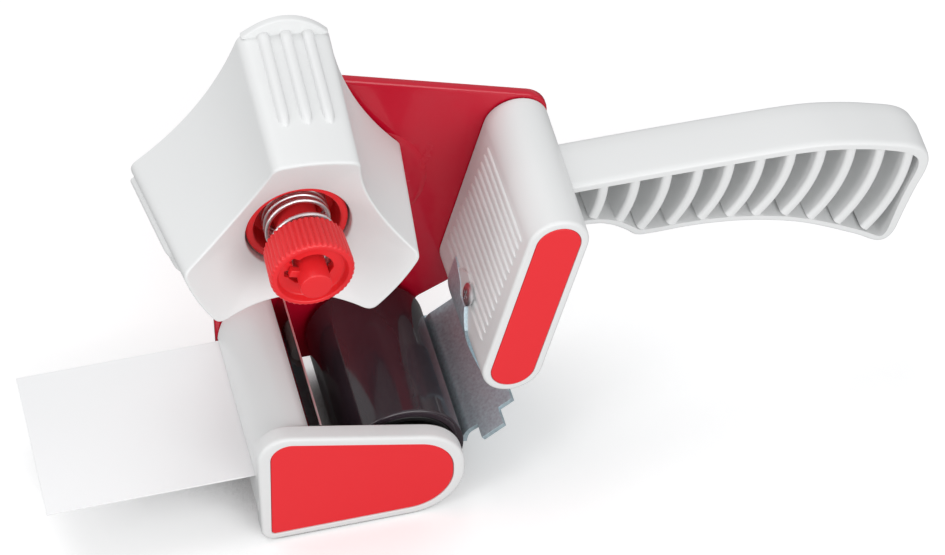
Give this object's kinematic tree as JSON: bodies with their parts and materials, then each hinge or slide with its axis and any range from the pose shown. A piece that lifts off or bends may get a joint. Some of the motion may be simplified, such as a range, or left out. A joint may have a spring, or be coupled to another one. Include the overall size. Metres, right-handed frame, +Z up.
{
  "type": "hand-held packing tape dispenser",
  "caption": "Pistol-grip packing tape dispenser: red side plate, white lobed hub with adjustable brake, rubber roller, toothed blade under a guard with a wiping flap, and a ribbed grip.",
  "frame": {"origin": "on the floor under the middle of the bounding box, with the guard's foot at z = 0", "axes": "+X along the grip, away from the wiping flap; +Y along the hub and roller axes, from the open side to the side plate; +Z up"},
  "size_m": [0.2476, 0.0624, 0.1376],
  "materials": {
    "white_plastic": "cool off-white moulded plastic with a satin gloss",
    "red_plastic": "bright red moulded plastic, satin gloss",
    "red_inlay": "smooth red inlay sheet, satin gloss",
    "crimson_paint": "glossy crimson enamel on pressed sheet steel",
    "black_rubber": "smooth black rubber with a high gloss",
    "black_plastic": "black moulded plastic core, inside the roller",
    "zinc_plate": "zinc-plated steel with a fine spangle and bright cut edges",
    "bright_steel": "bright plated steel",
    "blade_steel": "bright hardened steel strip",
    "white_film": "semi-matte white polyester film",
    "grey_felt": "pressed grey felt"
  },
  "bodies": {
    "frame": {"side_plate": "crimson_paint", "cutter_blade": "blade_steel", "blade_rivet_near": "bright_steel", "blade_rivet_far": "bright_steel", "roller_axle": "bright_steel", "roller_washer": "bright_steel", "roller_clip": "bright_steel", "spindle": "red_plastic", "spindle_washer": "bright_steel", "spindle_screw": "bright_steel", "brake_cup": "red_plastic", "brake_spring": "bright_steel", "guard": "white_plastic", "guard_inlay": "red_inlay", "guard_cap_screw": "bright_steel", "guard_plate_screw": "bright_steel", "flap_clamp": "zinc_plate", "flap_screw_near": "zinc_plate", "flap_screw_far": "zinc_plate", "handle": "white_plastic", "handle_inlay": "red_inlay", "handle_screw_upper": "bright_steel", "handle_screw_lower": "bright_steel", "block_screw": "bright_steel", "lower_bracket": "zinc_plate", "bracket_rivet_1": "bright_steel", "bracket_rivet_2": "bright_steel"},
    "hub": {"hub_core": "white_plastic", "brake_felt": "grey_felt"},
    "roller": {"roller_sleeve": "black_rubber", "roller_core": "black_plastic"},
    "flap": {"tape_flap": "white_film"},
    "brake_seat": {"brake_washer": "bright_steel"},
    "knob": {"brake_knob": "red_plastic"}
  },
  "joints": [
    {"name": "hub_spin", "type": "hinge", "parent": "frame", "child": "hub", "pos_m": [-0.0504, 0.0028, 0.0967], "axis": [0, 1, 0], "continuous": true},
    {"name": "roller_spin", "type": "hinge", "parent": "frame", "child": "roller", "pos_m": [-0.0272, 0.0018, 0.0167], "axis": [0, 1, 0], "continuous": true},
    {"name": "flap_flex", "type": "hinge", "parent": "frame", "child": "flap", "pos_m": [-0.0687, 0.0018, 0.0202], "axis": [0, 1, 0], "range_deg": [-25, 35], "stiffness_Nm_per_rad": 0.042, "deforming": ["tape_flap"]},
    {"name": "knob_push", "type": "slide", "parent": "frame", "child": "brake_seat", "axis": [0, 1, 0], "range_m": [0, 0.0026], "stiffness_N_per_m": 3000, "deforming": ["brake_spring"]},
    {"name": "knob_turn", "type": "hinge", "parent": "brake_seat", "child": "knob", "pos_m": [-0.0504, -0.0222, 0.0967], "axis": [0, -1, 0], "range_deg": [-50, 245]}
  ]
}
